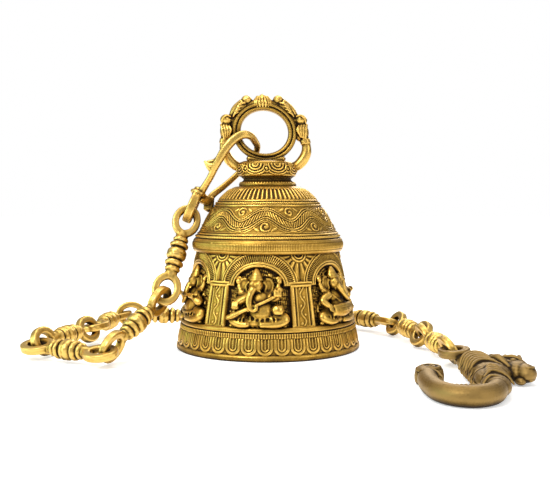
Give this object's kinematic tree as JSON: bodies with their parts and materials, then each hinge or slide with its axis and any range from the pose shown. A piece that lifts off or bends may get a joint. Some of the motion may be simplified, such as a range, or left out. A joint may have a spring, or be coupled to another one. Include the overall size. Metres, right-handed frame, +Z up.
{
  "type": "temple bell with chain",
  "caption": "Cast brass temple bell with a hanging crown, seated figures in arched niches, a clapper, a linked chain and a ceiling hook.",
  "frame": {"origin": "centre of the bell's mouth, on the surface that the bell stands on", "axes": "+Z up along the bell's axis, -Y towards the front of the bell, +X to the right seen from the front"},
  "size_m": [0.3756, 0.3723, 0.216],
  "materials": {
    "bell_brass": "worn satin",
    "crown_brass": "worn satin",
    "chain_brass": "worn satin",
    "hook_brass": "aged satin",
    "clapper_iron": "forged",
    "fixing_steel": "dull"
  },
  "bodies": {
    "bell": {"bell_shell": "bell_brass", "crown": "crown_brass", "clapper_eyebolt": "fixing_steel", "crown_washer": "fixing_steel", "crown_nut": "fixing_steel"},
    "clapper_ring": {"clapper_ring": "fixing_steel"},
    "clapper": {"clapper_rod": "clapper_iron", "clapper_ball": "clapper_iron"},
    "shackle": {"shackle": "chain_brass"},
    "chain_link_01": {"chain_link_01": "chain_brass"},
    "chain_link_02": {"chain_link_02": "chain_brass"},
    "chain_link_03": {"chain_link_03": "chain_brass"},
    "chain_link_04": {"chain_link_04": "chain_brass"},
    "chain_link_05": {"chain_link_05": "chain_brass"},
    "chain_link_06": {"chain_link_06": "chain_brass"},
    "chain_link_07": {"chain_link_07": "chain_brass"},
    "chain_link_08": {"chain_link_08": "chain_brass"},
    "chain_link_09": {"chain_link_09": "chain_brass"},
    "chain_link_10": {"chain_link_10": "chain_brass"},
    "chain_link_11": {"chain_link_11": "chain_brass"},
    "ceiling_hook": {"ceiling_hook": "hook_brass"}
  },
  "joints": [
    {"name": "clapper_ring_swing", "type": "hinge", "parent": "bell", "child": "clapper_ring", "pos_m": [0, 0, 0.1005], "axis": [1, 0, 0], "range_deg": [-12, 12]},
    {"name": "clapper_swing", "type": "hinge", "parent": "clapper_ring", "child": "clapper", "pos_m": [0, 0, 0.0908], "axis": [0, 1, 0], "range_deg": [-48, 48]},
    {"name": "shackle_turn", "type": "hinge", "parent": "bell", "child": "shackle", "pos_m": [-0.021, 0, 0.17], "axis": [0, 0, 1], "range_deg": [-2, 8]},
    {"name": "chain_link_01_turn", "type": "hinge", "parent": "shackle", "child": "chain_link_01", "pos_m": [-0.0685, -0.0047, 0.1087], "axis": [0, 0, -1], "range_deg": [-4, 10]},
    {"name": "chain_link_02_turn", "type": "hinge", "parent": "chain_link_01", "child": "chain_link_02", "pos_m": [-0.08484, -0.03367, 0.04567], "axis": [0, 0, 1], "range_deg": [-2, 25]},
    {"name": "chain_link_03_turn", "type": "hinge", "parent": "chain_link_02", "child": "chain_link_03", "pos_m": [-0.12333, -0.09296, 0.00873], "axis": [0, 0, 1], "range_deg": [-2, 40]},
    {"name": "chain_link_04_turn", "type": "hinge", "parent": "chain_link_03", "child": "chain_link_04", "pos_m": [-0.18211, -0.06263, 0.01283], "axis": [0, 0, 1], "range_deg": [-2, 30]},
    {"name": "chain_link_05_turn", "type": "hinge", "parent": "chain_link_04", "child": "chain_link_05", "pos_m": [-0.15177, 0.01652, 0.01359], "axis": [0, 0, 1], "range_deg": [-3, 22]},
    {"name": "chain_link_06_turn", "type": "hinge", "parent": "chain_link_05", "child": "chain_link_06", "pos_m": [-0.1424, 0.08246, 0.01678], "axis": [0, 0, 1], "range_deg": [-3, 50]},
    {"name": "chain_link_07_turn", "type": "hinge", "parent": "chain_link_06", "child": "chain_link_07", "pos_m": [-0.05883, 0.09567, 0.01178], "axis": [0, 0, 1], "range_deg": [-5, 45]},
    {"name": "chain_link_08_turn", "type": "hinge", "parent": "chain_link_07", "child": "chain_link_08", "pos_m": [-0.00708, 0.13966, 0.01274], "axis": [0, 0, 1], "range_deg": [-6, 30]},
    {"name": "chain_link_09_turn", "type": "hinge", "parent": "chain_link_08", "child": "chain_link_09", "pos_m": [0.07259, 0.11067, 0.01274], "axis": [0, 0, 1], "range_deg": [-8, 8]},
    {"name": "chain_link_10_turn", "type": "hinge", "parent": "chain_link_09", "child": "chain_link_10", "pos_m": [0.11534, 0.05814, 0.01218], "axis": [0, 0, 1], "range_deg": [-10, 12]},
    {"name": "chain_link_11_turn", "type": "hinge", "parent": "chain_link_10", "child": "chain_link_11", "pos_m": [0.13054, -0.01892, 0.01168], "axis": [0, 0, 1], "range_deg": [-4, 8]},
    {"name": "ceiling_hook_turn", "type": "hinge", "parent": "chain_link_11", "child": "ceiling_hook", "pos_m": [0.13877, -0.09703, 0.01168], "axis": [0, 0, 1], "range_deg": [-30, 50]}
  ]
}
